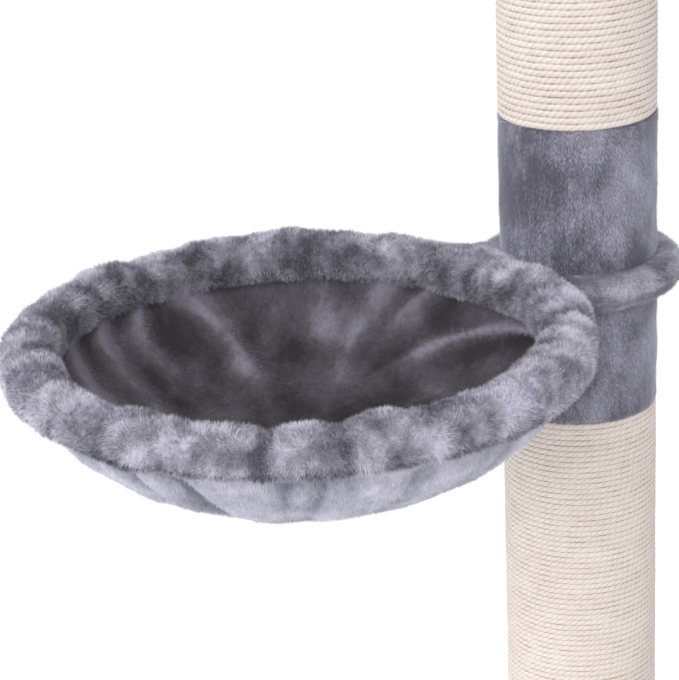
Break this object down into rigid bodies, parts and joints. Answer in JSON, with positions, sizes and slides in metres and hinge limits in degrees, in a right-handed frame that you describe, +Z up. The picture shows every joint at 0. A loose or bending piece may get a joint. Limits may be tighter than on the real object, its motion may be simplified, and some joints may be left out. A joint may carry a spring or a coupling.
{
  "type": "floor-to-ceiling cat tree",
  "caption": "Tall sisal-wound post clamped between floor and ceiling, with a plush base plate, a swivelling ring hammock with a soft hanging bag, and a screw tensioner at the top.",
  "frame": {"origin": "on the floor, on the axis of the post, at the underside of the base plate's felt pad", "axes": "+Z up along the post; the hammock's arm points along -X at rest; the base plate's sides are along X and Y"},
  "size_m": [0.5875, 0.456, 2.4],
  "materials": {
    "fibreboard": "raw fibreboard",
    "cardboard": "spiral-wound cardboard",
    "sisal": "natural twisted sisal",
    "plush_sleeve": "grey short-pile plush",
    "plush_board": "grey short-pile plush",
    "plush_rim": "grey long-pile plush",
    "plush_bag": "grey plush, gathered",
    "plush_lining": "grey plush, gathered",
    "steel": "zinc plated",
    "plastic": "moulded, fine grain",
    "felt_pad": "needled felt",
    "rubber_pad": "matt"
  },
  "bodies": {
    "root": {"base_board": "fibreboard", "base_cover": "plush_board", "base_pad": "felt_pad", "base_bolt": "steel", "base_washer": "steel", "post_1_tube": "cardboard", "post_1_lower_plug": "fibreboard", "post_1_upper_plug": "fibreboard", "post_1_lower_sleeve": "plush_sleeve", "post_1_upper_sleeve": "plush_sleeve", "post_1_rope": "sisal", "post_2_tube": "cardboard", "post_2_lower_plug": "fibreboard", "post_2_upper_plug": "fibreboard", "post_2_lower_sleeve": "plush_sleeve", "post_2_upper_sleeve": "plush_sleeve", "post_2_rope": "sisal", "post_3_tube": "cardboard", "post_3_lower_plug": "fibreboard", "post_3_upper_plug": "fibreboard", "post_3_lower_sleeve": "plush_sleeve", "post_3_upper_sleeve": "plush_sleeve", "post_3_rope": "sisal", "post_3_rope_turns": "sisal", "post_4_tube": "cardboard", "post_4_lower_plug": "fibreboard", "post_4_upper_plug": "fibreboard", "post_4_lower_sleeve": "plush_sleeve", "post_4_upper_sleeve": "plush_sleeve", "post_4_rope": "sisal", "post_4_rope_turns": "sisal", "post_5_tube": "cardboard", "post_5_lower_plug": "fibreboard", "post_5_upper_plug": "fibreboard", "post_5_lower_sleeve": "plush_sleeve", "post_5_upper_sleeve": "plush_sleeve", "post_5_rope": "sisal", "connecting_studs": "steel", "tee_nuts": "steel", "top_cap": "plastic"},
    "hammock": {"hammock_frame": "fibreboard", "hammock_cover": "plush_rim", "hammock_bag": "plush_bag", "hammock_lining": "plush_lining"},
    "wheel": {"tension_wheel": "plastic"},
    "ceiling_head": {"spindle": "steel", "spindle_flange": "steel", "ceiling_screws": "steel", "ceiling_plate": "fibreboard", "ceiling_cover": "plush_board", "ceiling_pad": "rubber_pad"}
  },
  "joints": [
    {"name": "hammock_swivel", "type": "hinge", "parent": "root", "child": "hammock", "pos_m": [0, 0, 1.353], "axis": [0, 0, 1], "continuous": true},
    {"name": "wheel_turn", "type": "hinge", "parent": "root", "child": "wheel", "pos_m": [0, 0, 2.262], "axis": [0, 0, 1], "range_deg": [-9000, 8100]},
    {"name": "head_slide", "type": "slide", "parent": "root", "child": "ceiling_head", "axis": [0, 0, 1], "range_m": [-0.09, 0.1]}
  ],
  "couplings": [
    {"joint": "wheel_turn", "follows": "head_slide", "rad_per_m": -1570.8}
  ]
}
